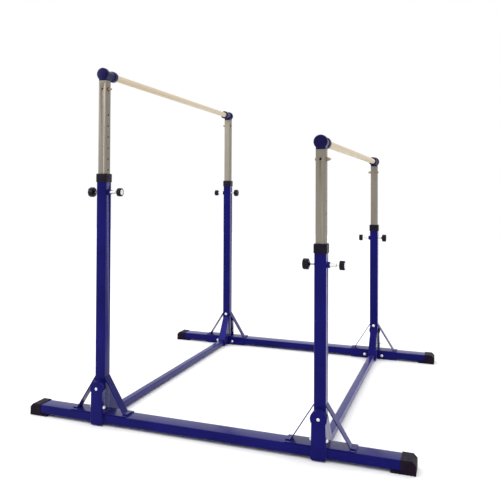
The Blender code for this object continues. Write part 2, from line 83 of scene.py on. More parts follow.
def skin(name, rings, closed=False, sharp=35):
    """A surface over a grid of points, indexed ring by ring. Every ring closes on itself. The first and last ring
    are filled with a face each, or joined to each other when the grid is closed both ways."""
    rings = np.asarray(rings, float)
    count, around = rings.shape[:2]
    index = np.arange(count * around).reshape(count, around)
    rows = np.vstack([index, index[:1]]) if closed else index
    near, far = rows[:-1], rows[1:]
    quads = np.stack([near, np.roll(near, -1, 1), np.roll(far, -1, 1), far], -1).reshape(-1, 4)
    ends = [] if closed else [index[0][::-1].tolist(), index[-1].tolist()]
    mesh = bpy.data.meshes.new(name)
    mesh.from_pydata(rings.reshape(-1, 3).tolist(), [], quads.tolist() + ends)
    shape = bmesh.new()
    shape.from_mesh(mesh)
    bmesh.ops.remove_doubles(shape, verts=shape.verts, dist=1e-6)
    bmesh.ops.recalc_face_normals(shape, faces=shape.faces)
    shape.to_mesh(mesh)
    shape.free()
    mesh.shade_smooth()
    mesh.set_sharp_from_angle(angle=math.radians(sharp))
    piece = bpy.data.objects.new(name, mesh)
    bpy.context.scene.collection.objects.link(piece)
    return piece


def soften(piece, width, segments=2):
    """Breaks a piece's sharp edges, as deburring and paint do."""
    edge = piece.modifiers.new("Edge", "BEVEL")
    edge.width = width
    edge.segments = segments
    edge.limit_method = "ANGLE"
    edge.angle_limit = math.radians(50)
    edge.harden_normals = True
    return piece


def shader_of(made):
    """The one shader of a material."""
    return made.node_tree.nodes["Principled BSDF"]


def finish(name, slot, colour, roughness, metallic=0.0, gloss=0.5, sheen=(1, 1, 1)):
    """A new material on one Principled shader, with the uniform values on its own sockets. The sheen is the colour of
    its reflections where it is looked at squarely."""
    made = bpy.data.materials.new(name)
    made.use_nodes = True
    made["slot"] = slot
    shader = shader_of(made)
    shader.inputs["Base Color"].default_value = (*colour, 1)
    shader.inputs["Roughness"].default_value = roughness
    shader.inputs["Metallic"].default_value = metallic
    shader.inputs["Specular IOR Level"].default_value = gloss
    shader.inputs["Specular Tint"].default_value = (*sheen, 1)
    return made


def grain(made, scale, detail=3.0, stretch=(1, 1, 1)):
    """Noise on object coordinates, its cells stretched along an axis. Returns the noise's value socket."""
    tree = made.node_tree
    place = tree.nodes.new("ShaderNodeTexCoord")
    turn = tree.nodes.new("ShaderNodeMapping")
    turn.inputs["Scale"].default_value = stretch
    noise = tree.nodes.new("ShaderNodeTexNoise")
    noise.inputs["Scale"].default_value = scale
    noise.inputs["Detail"].default_value = detail
    tree.links.new(place.outputs["Object"], turn.inputs["Vector"])
    tree.links.new(turn.outputs["Vector"], noise.inputs["Vector"])
    return noise.outputs["Fac"]


def tint(made, value, low_colour, high_colour, low=0.3, high=0.7):
    """Colours the surface between two colours as the value goes from low to high."""
    ramp = made.node_tree.nodes.new("ShaderNodeValToRGB")
    for stop, place, colour in zip(ramp.color_ramp.elements, (low, high), (low_colour, high_colour)):
        stop.position = place
        stop.color = (*colour, 1)
    made.node_tree.links.new(value, ramp.inputs["Fac"])
    made.node_tree.links.new(ramp.outputs["Color"], shader_of(made).inputs["Base Color"])


def vary(made, value, socket, low, high):
    """Lets a shader socket follow the value between two limits."""
    spread = made.node_tree.nodes.new("ShaderNodeMapRange")
    spread.inputs["From Min"].default_value = 0.3
    spread.inputs["From Max"].default_value = 0.7
    spread.inputs["To Min"].default_value = low
    spread.inputs["To Max"].default_value = high
    made.node_tree.links.new(value, spread.inputs["Value"])
    made.node_tree.links.new(spread.outputs["Result"], shader_of(made).inputs[socket])


def emboss(made, value, strength, depth):
    """Raises the surface by the value, up to depth metres."""
    bump = made.node_tree.nodes.new("ShaderNodeBump")
    bump.inputs["Strength"].default_value = strength
    bump.inputs["Distance"].default_value = depth
    made.node_tree.links.new(value, bump.inputs["Height"])
    made.node_tree.links.new(bump.outputs["Normal"], shader_of(made).inputs["Normal"])


def assemble(piece, material, body, *nodes):
    """Gives a piece its finish, hangs it on its body, and hides the solids it stands for."""
    piece.data.materials.append(material)
    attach(piece, body)
    if nodes:
        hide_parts(*nodes)
    return piece


def blue_powder_coat():
    """Deep blue, glossy, with orange peel about 3 mm across and a slow drift in shade where the coat is thicker."""
    made = finish("blue_powder", "blue_powder_coat", (0.005, 0.005, 0.085), 0.22, gloss=0.25, sheen=(0.2, 0.2, 1))
    tint(made, grain(made, 5, 2), (0.004, 0.004, 0.070), (0.007, 0.006, 0.100))
    vary(made, grain(made, 14, 3), "Roughness", 0.17, 0.27)
    emboss(made, grain(made, 300, 1), 0.02, 0.0003)
    shader = shader_of(made)
    shader.inputs["Sheen Weight"].default_value = 0.22
    shader.inputs["Sheen Roughness"].default_value = 0.35
    shader.inputs["Sheen Tint"].default_value = (0.25, 0.20, 1.0, 1)
    return made


BLUE = blue_powder_coat()
TUBE_WALL = 0.003
BEAM_CORNER = 0.006


def tube(name, axis, low, high, corner, wall=TUBE_WALL):
    """A rectangular tube between two corners of its box: the outer outline at both ends, then the inner outline
    back again, closed into one ring of skin with the wall between them."""
    low, high = np.array(low), np.array(high)
    along = "XYZ".index(axis)
    size = np.delete(high - low, along)
    middle = np.delete((low + high) / 2, along)
    outer = rectangle(*size, corner) + complex(*middle)
    inner = rectangle(*(size - 2 * wall), max(corner - wall, 0.001)) + complex(*middle)
    run = (low[along], high[along])
    rings = [lay(outer, axis, run[0]), lay(outer, axis, run[1]), lay(inner, axis, run[1]), lay(inner, axis, run[0])]
    return skin(name, rings, closed=True, sharp=20)


for row in ("front", "back"):
    node = f"{row}_beam"
    assemble(tube(f"{row}_base_tube", "X", *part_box(node), BEAM_CORNER), BLUE, "base", node)


# ---- End caps ----
# A black moulded rubber cap closes each end of a beam. It slopes off at its outer top edge, and its sole runs
# on under the beam as a foot plate, with grooves for grip. The beam's end goes into its pocket.


def black_rubber():
    """Matt black with a fine moulded texture, greyer where it is scuffed."""
    made = finish("rubber", "black_rubber", (0.005, 0.003, 0.006), 0.62, gloss=0.15, sheen=(0.7, 0.5, 0.9))
    tint(made, grain(made, 30, 4), (0.004, 0.002, 0.005), (0.009, 0.006, 0.011))
    vary(made, grain(made, 60, 3), "Roughness", 0.5, 0.72)
    emboss(made, grain(made, 900, 2), 0.25, 0.0003)
    return made


def cut(piece, *cutters, operation="DIFFERENCE"):
    """Takes other shapes out of a piece, or joins them to it, for good."""
    for cutter in cutters:
        step = piece.modifiers.new("Cut", "BOOLEAN")
        step.operation = operation
        step.object = cutter
    bpy.context.view_layer.update()
    mesh = bpy.data.meshes.new_from_object(piece.evaluated_get(bpy.context.evaluated_depsgraph_get()))
    piece.modifiers.clear()
    piece.data = mesh
    for cutter in cutters:
        bpy.data.objects.remove(cutter)
    return piece


def box_shape(name, low, high):
    """A plain box between two corners, for cutting."""
    middle = complex(low[0] + high[0], low[1] + high[1]) / 2
    outline = rectangle(high[0] - low[0], high[1] - low[1], 0) + middle
    return skin(name, [lay(outline, "Z", low[2]), lay(outline, "Z", high[2])])


RUBBER = black_rubber()
CLEAR = 0.0003
CAP_LENGTH = 0.070
CAP_END = 0.020
CAP_SLOPE = 0.018
SOLE_GROOVES = 6
GROOVE_WIDTH = 0.003
GROOVE_DEPTH = 0.002
PAST = 0.01
EDGE_BREAK = 0.0012


def end_cap(name, low, high, beam_low, beam_high, side):
    """The cap's side view as an outline, carried across the beam, with the pocket and the sole's grooves cut out.
    side is 1 at the right end and -1 at the left."""
    end, start = (high[0], low[0]) if side > 0 else (low[0], high[0])
    mouth = end - side * CAP_LENGTH
    outline = rounded(
        [
            (start, 0, 0.003),
            (end, 0, 0.004),
            (end, high[2] - CAP_SLOPE, 0.007),
            (end - side * CAP_SLOPE, high[2], 0.007),
            (mouth, high[2], 0.0015),
            (mouth, beam_low[2] - CLEAR, 0),
            (start, beam_low[2] - CLEAR, 0.003),
        ]
    )
    piece = skin(name, [lay(outline, "Y", low[1]), lay(outline, "Y", high[1])])
    reach = end - side * CAP_END
    far = start - side * CAP_LENGTH
    pocket_low = (min(reach, far), beam_low[1] - CLEAR, beam_low[2] - CLEAR)
    pocket_high = (max(reach, far), beam_high[1] + CLEAR, beam_high[2] + CLEAR)
    cutters = [box_shape("pocket", pocket_low, pocket_high)]
    for step in np.linspace(start, end, SOLE_GROOVES + 2)[1:-1]:
        groove_low = (step - GROOVE_WIDTH / 2, low[1] - PAST, -PAST)
        groove_high = (step + GROOVE_WIDTH / 2, high[1] + PAST, GROOVE_DEPTH)
        cutters.append(box_shape("groove", groove_low, groove_high))
    return soften(cut(piece, *cutters), EDGE_BREAK)


for row in ("front", "back"):
    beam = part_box(f"{row}_beam")
    for side, sign in (("left", -1), ("right", 1)):
        node = f"{row}_{side}_end_cap"
        assemble(end_cap(f"{row}_{side}_foot_cap", *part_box(node), *beam, sign), RUBBER, "base", node)


# ---- Outer posts ----
# Four uprights of square steel tube stand on the beams. A round boss is welded to one side for the pull pin,
# and the other side is drilled for the clamp screw. The back uprights are the front ones turned half round.


def angles(sides):
    """Equal steps once round a circle, laid along the second axis of a grid of points."""
    return np.linspace(0, 2 * np.pi, sides, endpoint=False)[None, :, None]


def circles(start, axis, distance, radius, t):
    """Points at angle t about the line from start along axis: start + axis * distance + radius * (cos t * u +
    sin t * v), with u and v square to the axis."""
    axis = np.array(axis, float)
    u = np.roll(axis, 1)
    v = np.cross(axis, u)
    return np.array(start) + axis * distance + radius * (np.cos(t) * u + np.sin(t) * v)


def turned(name, profile, start, axis, sides=48, closed=False, sharp=35):
    """A turned shape. Each (radius, distance) of the profile becomes a circle about the line from start along axis."""
    radius, distance = np.array(profile, float).T[:, :, None, None]
    return skin(name, circles(start, axis, distance, radius, angles(sides)), closed, sharp)


def drill(radius, run, level, axis=(1, 0, 0)):
    """A round cutter at a level of an upright. Its run is its two ends' distances from the upright's middle line."""
    return turned("drill", [(radius, run[0]), (radius, run[1])], (0, 0, level), axis, 24)


def own_box(upright, solid):
    """The lowest and highest corners of one of an upright's solids, in the upright's own frame."""
    x, y, turn = upright["place"]
    corners = (np.array(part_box(upright["name"] + solid)) - (x, y, 0)) * (turn, turn, 1)
    return corners.min(0), corners.max(0)


def stood(piece, upright):
    """Moves a whole piece from an upright's own frame to where that upright stands."""
    x, y, turn = upright["place"]
    piece.data.transform(Matrix.Translation((x, y, 0)) @ Matrix.Rotation(0 if turn > 0 else math.pi, 4, "Z"))
    return piece


POST_CORNER = 0.005
BOSS_RADIUS = 0.016
BOSS_LENGTH = 0.014
BEAD = 0.0022
SLEEVE_RADIUS = 0.0105
PIN_HOLE_RADIUS = 0.0052
SCREW_HOLE_RADIUS = 0.0054
OUTER_WALL_RUN = (0.02, 0.04)
uprights = []
for row, turn in (("front", 1), ("back", -1)):
    for side in ("left", "right"):
        low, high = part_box(f"{row}_{side}_guide_collar")
        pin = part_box(f"{row}_{side}_pull_pin")
        uprights.append(
            {
                "name": f"{row}_{side}",
                "place": ((low.x + high.x) / 2, (low.y + high.y) / 2, turn),
                "top": high.z,
                "level": (pin[0].z + pin[1].z) / 2,
                "frame": f"{side}_frame",
                "rail": f"{side}_rail",
                "side": side,
            }
        )

for upright in uprights:
    node = upright["name"] + "_outer_post"
    low, high = own_box(upright, "_outer_post")
    half, level = high[1], upright["level"]
    post = tube(upright["name"] + "_post_tube", "Z", low, (half, half, high[2]), POST_CORNER)
    drills = [
        drill(PIN_HOLE_RADIUS, OUTER_WALL_RUN, level),
        drill(SCREW_HOLE_RADIUS, OUTER_WALL_RUN, level, (-1, 0, 0)),
    ]
    assemble(stood(cut(post, *drills), upright), BLUE, upright["frame"], node)
    bore, rim = SLEEVE_RADIUS + CLEAR, half + BOSS_LENGTH
    boss_profile = [
        (bore, half + CLEAR),
        (BOSS_RADIUS + BEAD, half + CLEAR),
        (BOSS_RADIUS + BEAD * 0.9, half + BEAD * 0.5),
        (BOSS_RADIUS + BEAD * 0.3, half + BEAD * 0.9),
        (BOSS_RADIUS, half + BEAD * 1.6),
        (BOSS_RADIUS, rim - 0.0015),
        (BOSS_RADIUS - 0.0005, rim - 0.0005),
        (BOSS_RADIUS - 0.0015, rim),
        (bore, rim),
    ]
    boss = turned(upright["name"] + "_pin_boss", boss_profile, (0, 0, level), (1, 0, 0), closed=True)
    assemble(stood(boss, upright), BLUE, upright["frame"])


# ---- Guide collars ----
# A black plastic collar is pressed over the top of each outer post. Its mouth fits the inner post closely, so
# that steel doesn't run on steel, and its skirt grips the outside of the tube.


def black_plastic():
    """Satin black with a faint spark-eroded texture."""
    made = finish("plastic", "black_plastic", (0.005, 0.003, 0.006), 0.40, gloss=0.18, sheen=(0.7, 0.6, 0.9))
    tint(made, grain(made, 25, 3), (0.003, 0.002, 0.004), (0.007, 0.005, 0.009))
    vary(made, grain(made, 80, 3), "Roughness", 0.34, 0.5)
    emboss(made, grain(made, 1400, 1), 0.15, 0.0002)
    return made


PLASTIC = black_plastic()
COLLAR_LIP = 0.004
MOUTH_CORNER = 0.004


def square(width, corner, height):
    """A level square outline round an upright's middle line."""
    return lay(rectangle(width, width, corner), "Z", height)


def guide_collar(name, low, high, post_side, inner_side):
    """Rounded squares stacked into a collar: up the outside, in over the top edge, down the mouth, out under the
    lip and down the inside of the skirt."""
    side, top, bottom = high[0] - low[0], high[2], low[2]
    seat, mouth = post_side + 2 * CLEAR, inner_side + 3 * CLEAR
    stations = [
        (side - 0.002, 0.007, bottom),
        (side, 0.008, bottom + 0.001),
        (side, 0.008, top - 0.006),
        (side - 0.001, 0.0078, top - 0.003),
        (side - 0.004, 0.0072, top - 0.0008),
        (side - 0.008, 0.0065, top),
        (mouth + 0.003, 0.005, top),
        (mouth, MOUTH_CORNER, top - 0.0015),
        (mouth, MOUTH_CORNER, top - COLLAR_LIP),
        (seat, POST_CORNER, top - COLLAR_LIP),
        (seat, POST_CORNER, bottom),
    ]
    return skin(name, [square(*station) for station in stations], closed=True)


for upright in uprights:
    node = upright["name"] + "_guide_collar"
    sides = [2 * own_box(upright, solid)[1][1] for solid in ("_outer_post", "_inner_post")]
    collar = guide_collar(upright["name"] + "_post_collar", *own_box(upright, "_guide_collar"), *sides)
    assemble(stood(collar, upright), PLASTIC, upright["frame"], node)


# ---- Inner posts ----
# A square steel tube slides in each outer post. It is drilled with a row of height holes on one side, and its
# drawn zinc surface keeps long rubbing marks from the collar.


def satin_steel():
    """Zinc-plated steel, with fine draw lines along its length and a warm uneven tone."""
    made = finish("satin_steel_tube", "satin_steel", (0.24, 0.215, 0.18), 0.5, metallic=1.0)
    tint(made, grain(made, 7, 3, (1, 1, 0.25)), (0.22, 0.195, 0.16), (0.265, 0.24, 0.205))
    vary(made, grain(made, 160, 3, (1, 1, 0.05)), "Roughness", 0.45, 0.55)
    emboss(made, grain(made, 400, 2, (1, 1, 0.02)), 0.01, 0.0001)
    return made


STEEL = satin_steel()
INNER_CORNER = 0.004
HOLES = 12
HOLE_PITCH = 0.0625
FIRST_HOLE = 0.231
HOLE_RADIUS = 0.006
CROSS_BOLT_DROP = 0.085
BOLT_HOLE_RADIUS = 0.0043
OUTER_HOLE_RADIUS = 0.006
ONE_WALL_RUN = (0.01, 0.04)
BOTH_WALLS_RUN = (-0.04, 0.04)

for upright in uprights:
    node = upright["name"] + "_inner_post"
    bar_low, bar_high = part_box(upright["side"] + "_bar")
    upright["bar"] = (bar_low.z + bar_high.z) / 2
    post = tube(upright["name"] + "_sliding_tube", "Z", *own_box(upright, "_inner_post"), INNER_CORNER)
    drills = []
    for hole in range(HOLES):
        height = upright["bar"] - FIRST_HOLE - hole * HOLE_PITCH
        drills.append(drill(HOLE_RADIUS, ONE_WALL_RUN, height))
    height = upright["bar"] - CROSS_BOLT_DROP
    drills.append(drill(BOLT_HOLE_RADIUS, BOTH_WALLS_RUN, height))
    drills.append(drill(OUTER_HOLE_RADIUS, ONE_WALL_RUN, height, (0, -1, 0)))
    assemble(stood(cut(post, *drills), upright), STEEL, upright["rail"], node)


# ---- Saddles ----
# A folded steel plate lies on the beam under each upright and turns down over its inner side. Two domed zinc
# bolts clamp the flange to the beam, and the post is welded to the top with a fillet all round.


def zinc_plate():
    """Bright zinc on steel, with a faint cloudy tone where it was handled."""
    made = finish("zinc", "zinc_plate", (0.80, 0.79, 0.76), 0.22, metallic=1.0)
    tint(made, grain(made, 180, 3), (0.70, 0.69, 0.66), (0.90, 0.89, 0.86))
    vary(made, grain(made, 300, 3), "Roughness", 0.18, 0.34)
    emboss(made, grain(made, 1500, 2), 0.08, 0.0001)
    return made


def saddle(name, low, high):
    """The plate's side view, an L with a round bend, carried along the beam."""
    under, inner = high[2] - SADDLE_THICKNESS, high[1] - SADDLE_THICKNESS
    outline = rounded(
        [
            (low[1], under, 0),
            (inner, under, SADDLE_BEND - SADDLE_THICKNESS),
            (inner, low[2], 0),
            (high[1], low[2], 0),
            (high[1], high[2], SADDLE_BEND),
            (low[1], high[2], 0),
        ]
    )
    return soften(skin(name, [lay(outline, "X", low[0]), lay(outline, "X", high[0])]), EDGE_BREAK)


def domed_bolt(name, place, axis, radius=0.0085, height=0.006):
    """A washer under a domed head. The dome is an ellipse's quarter turned about the bolt's axis, and a six-sided
    socket is cut into its crown."""
    quarter = np.linspace(0, np.pi / 2, 9)[:-1]
    washer = 0.0016
    profile = [(0, 0), (radius * 1.25, 0), (radius * 1.25, washer * 0.8), (radius * 1.2, washer), (radius, washer)]
    profile += [(radius * np.cos(t), washer + (height - washer) * (0.15 + 0.85 * np.sin(t))) for t in quarter]
    profile.append((0, height))
    bolt = turned(name, profile, place, axis, 32)
    socket = [(radius * 0.38, height * 0.5), (radius * 0.38, height * 2)]
    return cut(bolt, turned("socket", socket, place, axis, 6))


def weld(name, inner_half, corner, seat, reach=0.004):
    """A fillet round a square foot: rounded squares that step out and down along a hollow quarter curve."""
    t = np.linspace(0, np.pi / 2, 6)
    stations = [(reach * (1 - np.sin(a)), reach * (1 - np.cos(a))) for a in t]
    rings = [square(2 * (inner_half + out), corner + out, seat + up) for out, up in stations]
    rings.append(square(2 * inner_half, corner, seat))
    return skin(name, rings, closed=True, sharp=60)


ZINC = zinc_plate()
SADDLE_THICKNESS = 0.005
SADDLE_BEND = 0.007
FLANGE_BOLT_SIDE = 0.066
FLANGE_BOLT_LEVEL = 0.030

for upright in uprights:
    name, frame_body = upright["name"], upright["frame"]
    low, high = own_box(upright, "_saddle")
    assemble(stood(saddle(name + "_beam_saddle", low, high), upright), BLUE, frame_body, name + "_saddle")
    for letter, side in (("a", -1), ("b", 1)):
        place = (side * FLANGE_BOLT_SIDE, high[1], FLANGE_BOLT_LEVEL)
        bolt = domed_bolt(f"{name}_flange_bolt_{letter}", place, (0, 1, 0))
        assemble(stood(bolt, upright), ZINC, frame_body)
    foot = own_box(upright, "_outer_post")
    fillet = weld(name + "_post_weld", foot[1][1], POST_CORNER, high[2])
    assemble(stood(fillet, upright), BLUE, frame_body)


# ---- Braces ----
# Two flat steel strips hold each post upright along the beam. Each has its upper end mitred and welded to the
# post's side and its lower end folded into a short foot on the saddle.

BRACE_WIDTH = 0.055
BRACE_THICKNESS = 0.005
BRACE_FOOT = 0.022


def brace(name, low, high, side):
    """The strip's side view, carried across its width: a slope from the post to the heel, then the flat foot. side is
    1 for the strip on +X and -1 for its mirror image."""
    wall, toe = (low[0], high[0]) if side > 0 else (high[0], low[0])
    heel = toe - side * BRACE_FOOT
    slope = (high[2] - low[2]) / abs(heel - wall)
    drop = BRACE_THICKNESS * math.hypot(1, slope)
    outline = rounded(
        [
            (wall, high[2], 0),
            (wall, high[2] - drop, 0),
            (heel - side * drop / slope, low[2], 0),
            (toe, low[2], 0),
            (toe, low[2] + BRACE_THICKNESS, 0),
            (heel - side * BRACE_THICKNESS / slope, low[2] + BRACE_THICKNESS, BRACE_THICKNESS / 2),
        ]
    )
    half = BRACE_WIDTH / 2
    return soften(skin(name, [lay(outline, "Y", -half), lay(outline, "Y", half)]), EDGE_BREAK)


for upright in uprights:
    for letter, side in (("a", -1), ("b", 1)):
        node = f"{upright['name']}_brace_{letter}"
        strip = brace(f"{upright['name']}_strip_{letter}", *own_box(upright, "_brace_" + letter), side)
        assemble(stood(strip, upright), BLUE, upright["frame"], node)


# ---- Outer brackets ----
# A pressed steel pan ties the foot of each post to the outer side of its beam. It has a round head with a bolt
# through its middle, and a second bolt crosses its shank. Its rim is turned in all round.

HEAD_RADIUS = 0.042
HEAD_HEIGHT = 0.203
NECK_HALF = 0.035
FOOT_HALF = 0.0385
PAN_BOTTOM = 0.004
PAN_CORNER = 0.010
PAN_EDGE = 0.004
PAN_WALL = 0.003
PAN_BOLT_HEAD = 0.005
PAN_BOLT_RADIUS = 0.0065
SHANK_BOLT_LEVEL = 0.100
SHANK_BOLT_RADIUS = 0.009
SHANK_BOLT_HEAD = 0.0105
SHANK_BOLT_BACK = 0.001
SHANK_FLARE = 0.0022


def keyhole(inset):
    """The pan's outline seen from outside, drawn in by the inset: an arc of the head's circle, and straight sides
    down to two rounded corners."""
    radius, neck, foot = HEAD_RADIUS - inset, NECK_HALF - inset, FOOT_HALF - inset
    reach = math.acos(neck / radius)
    head = HEAD_HEIGHT * 1j + radius * np.exp(1j * np.linspace(-reach, math.pi + reach, 41))
    bottom, corner = PAN_BOTTOM + inset, PAN_CORNER - inset
    turns = [(-foot, bottom, corner), (foot, bottom, corner)]
    shank = rounded([(head[-1].real, head[-1].imag, 0), *turns, (head[0].real, head[0].imag, 0)])
    return np.concatenate([head, shank[1:-1]])


def pan(name, face, back, beam_face, beam_top):
    """Keyholes stacked from the inside of the face, back along the wall, forward along its outside, and in over the
    rounded edge to the face. The lower part is cut away behind, where the beam is."""
    bend = np.linspace(0, np.pi / 2, 7)
    stations = [(PAN_WALL, face + PAN_WALL), (PAN_WALL, back), (0, back)]
    stations += [(PAN_EDGE * (1 - np.cos(t)), face + PAN_EDGE * (1 - np.sin(t))) for t in bend]
    piece = skin(name, [lay(keyhole(inset), "Y", y) for inset, y in stations])
    return cut(piece, box_shape("beam_room", (-0.2, beam_face, -0.1), (0.2, 0.2, beam_top)))


beam_low, beam_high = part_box("front_beam")
beam_half = (beam_high.y - beam_low.y) / 2
for upright in uprights:
    name, frame_body = upright["name"], upright["frame"]
    low, high = own_box(upright, "_outer_bracket")
    beam_top = own_box(upright, "_saddle")[1][2] + CLEAR
    face = low[1] + PAN_BOLT_HEAD
    bracket = pan(name + "_outer_pan", face, high[1], -beam_half - CLEAR, beam_top)
    assemble(stood(bracket, upright), BLUE, frame_body, name + "_outer_bracket")
    bolt = domed_bolt(name + "_pan_bolt", (0, face, HEAD_HEIGHT), (0, -1, 0), PAN_BOLT_RADIUS, PAN_BOLT_HEAD)
    assemble(stood(bolt, upright), ZINC, frame_body)
    for letter, side in (("a", -1), ("b", 1)):
        place = (side * (NECK_HALF + SHANK_FLARE), (face + high[1]) / 2 + SHANK_BOLT_BACK, SHANK_BOLT_LEVEL)
        shank_bolt = f"{name}_shank_bolt_{letter}"
        bolt = domed_bolt(shank_bolt, place, (side, 0, 0), SHANK_BOLT_RADIUS, SHANK_BOLT_HEAD)
        assemble(stood(bolt, upright), ZINC, frame_body)


# ---- Inner brackets ----
# A folded steel channel carries each post's load to the cross tube. Its tab is bolted to the post, it slopes
# away to a heel at the floor, and a square spigot on the heel plugs into the tube.

CHANNEL_WALL = 0.004
CHANNEL_KNEE = 0.230
CHANNEL_HEEL = 0.053
CHANNEL_TOP_WIDTH = 0.044
CHANNEL_FOOT_WIDTH = 0.062
SPIGOT_LENGTH = 0.090
HEEL_BEND = 0.012
KNEE_BEND = 0.020
TAB_BOLT_LEVEL = 0.254
CROSS_WALL = 0.0025
CROSS_CORNER = 0.004
CHANNEL_EDGE = 0.001


def channel(name, corners, low, high, trim):
    """The side view carried across the channel, whose width follows the height in a straight line."""
    flat = lay(rounded(corners), "X", 0.0)
    share = (flat[:, 2] - low) / (high - low)
    half = (CHANNEL_FOOT_WIDTH + (CHANNEL_TOP_WIDTH - CHANNEL_FOOT_WIDTH) * share) / 2 - trim
    across = half[:, None] * (1, 0, 0)
    return skin(name, [flat - across, flat + across], sharp=20)


def inner_bracket(name, low, high, flange, step):
    """The outside of the folded sheet, less an inside that runs a wall's thickness behind it, ending where the spigot
    begins.
    """
    back, face, tab = low[1], high[1] - SPIGOT_LENGTH, low[1] + CHANNEL_WALL
    outside = [
        (back, high[2], 0),
        (back, step, 0),
        (flange, step, 0),
        (flange, low[2], 0),
        (face, low[2], 0),
        (face, CHANNEL_HEEL, HEEL_BEND),
        (tab, CHANNEL_KNEE, KNEE_BEND),
        (tab, high[2], 0),
    ]
    lean = (face - tab) / (CHANNEL_KNEE - CHANNEL_HEEL)
    shift = CHANNEL_WALL * math.hypot(1, lean)
    inside = face - CHANNEL_WALL
    hollow = [
        (0, CHANNEL_KNEE + (tab - shift) / lean, 0),
        (0, -high[2], 0),
        (inside, -high[2], 0),
        (inside, CHANNEL_HEEL - (shift - CHANNEL_WALL) / lean, HEEL_BEND - CHANNEL_WALL),
    ]
    piece = cut(channel(name, outside, low[2], high[2], 0), channel("hollow", hollow, low[2], high[2], CHANNEL_WALL))
    return soften(piece, CHANNEL_EDGE)


for upright in uprights:
    name, frame_body = upright["name"], upright["frame"]
    low, high = own_box(upright, "_inner_bracket")
    saddle_high = own_box(upright, "_saddle")[1]
    bracket = inner_bracket(name + "_channel", low, high, saddle_high[1] + CLEAR, saddle_high[2] + CLEAR)
    assemble(stood(bracket, upright), BLUE, frame_body, name + "_inner_bracket")
    tube_low, tube_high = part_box(upright["side"] + "_cross_tube")
    side = tube_high.z - tube_low.z - 2 * CROSS_WALL - 2 * CLEAR
    middle, face = (tube_low.z + tube_high.z) / 2, high[1] - SPIGOT_LENGTH
    outline = rectangle(side, side, CROSS_CORNER) + middle * 1j
    spigot = skin(name + "_spigot", [lay(outline, "Y", face), lay(outline, "Y", high[1])])
    assemble(stood(soften(spigot, CHANNEL_EDGE), upright), BLUE, frame_body)
    bolt = domed_bolt(name + "_tab_bolt", (0, low[1] + CHANNEL_WALL, TAB_BOLT_LEVEL), (0, 1, 0))
    assemble(stood(bolt, upright), ZINC, frame_body)


# ---- Cross tubes ----
# A long square steel tube joins the front and back upright of each bar near the floor. Each end slips over a
# bracket's spigot.

for side in ("left", "right"):
    node = side + "_cross_tube"
    cross = tube(side + "_floor_tube", "Y", *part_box(node), CROSS_CORNER, CROSS_WALL)
    assemble(cross, BLUE, side + "_frame", node)


# ---- Pull pins ----
# A spring plunger locks each post at a hole. A turned steel sleeve is screwed into the boss, and inside it runs a
# zinc pin with a moulded black knob, closed by a bright disc.

PIN_RADIUS = 0.0045
KNOB_RADIUS = 0.0235
KNOB_LENGTH = 0.026
SLEEVE_BORE = 0.0049
GRIPS = 20
CAP_DISC = 0.0158
KNOB_EDGE = 0.004
GRIP_DEPTH = 0.0012
PIN_SEAT = 0.004
SLEEVE_RINGS = 3
RING_CUT = ((0, 0.0012), (0.0008, 0.0007), (0.0008, -0.0007), (0, -0.0012))


def pin_sleeve(name, start, end, radius, level):
    """A sleeve with a chamfered end and shallow rings cut round it, each a few (depth, distance along) points."""
    profile = [(SLEEVE_BORE, start), (SLEEVE_BORE, end), (radius - 0.0015, end), (radius, end - 0.0015)]
    for ring in np.linspace(end - 0.006, start + 0.022, SLEEVE_RINGS):
        profile += [(radius - depth, ring + along) for depth, along in RING_CUT]
    profile.append((radius, start))
    return turned(name, profile, (0, 0, level), (1, 0, 0), closed=True, sharp=25)


def knob(name, start, axis, radius, length, edge, lobes, depth):
    """A moulded knob: rounded edges, a dished far face, and a side wall that waves in and out by the depth with the
    cosine of lobes times the angle, fading out towards both faces."""
    t = angles(lobes * 12)
    bend = np.linspace(0, np.pi / 2, 6)
    near = [(radius - edge + edge * np.sin(a), edge - edge * np.cos(a), np.sin(a)) for a in bend]
    far = [(radius - edge + edge * np.cos(a), length - edge + edge * np.sin(a), np.cos(a)) for a in bend]
    dish = [(radius * 0.72, length, 0), (radius * 0.68, length - 0.0012, 0), (0, length - 0.0018, 0)]
    stations = np.array([(0, 0, 0), *near, *far, *dish])
    size, distance, share = stations.T[:, :, None, None]
    wave = size - depth * share * (0.5 - 0.5 * np.cos(lobes * t))
    return skin(name, circles(start, axis, distance, wave, t), sharp=50)


for upright in uprights:
    name, frame_body, level = upright["name"], upright["frame"], upright["level"]
    low, high = own_box(upright, "_pin_sleeve")
    sleeve = pin_sleeve(name + "_plunger_sleeve", low[0], high[0], high[1], level)
    assemble(stood(sleeve, upright), ZINC, frame_body, name + "_pin_sleeve")
    low, high = own_box(upright, "_pull_pin")
    start = high[0] - KNOB_LENGTH
    sizes = (KNOB_RADIUS, KNOB_LENGTH, KNOB_EDGE, GRIPS, GRIP_DEPTH)
    grip = knob(name + "_pin_knob", (start, 0, level), (1, 0, 0), *sizes)
    assemble(stood(grip, upright), PLASTIC, name + "_pin", name + "_pull_pin")
    tip, inside = low[0], start + PIN_SEAT
    profile = [(0, tip), (PIN_RADIUS - 0.001, tip), (PIN_RADIUS, tip + 0.001), (PIN_RADIUS, inside), (0, inside)]
    plunger = turned(name + "_plunger", profile, (0, 0, level), (1, 0, 0), 32)
    assemble(stood(plunger, upright), ZINC, name + "_pin")
    profile = [(0, -0.002), (CAP_DISC, -0.002), (CAP_DISC, -0.0006), (CAP_DISC - 0.0006, 0), (0, 0)]
    disc = turned(name + "_knob_disc", profile, (high[0], 0, level), (1, 0, 0), 40)
    assemble(stood(disc, upright), ZINC, name + "_pin")


# ---- Clamp screws ----
# A steel screw goes through the other side of each post and steadies the inner one. It is moulded into a large
# black hand knob with a narrower hub.

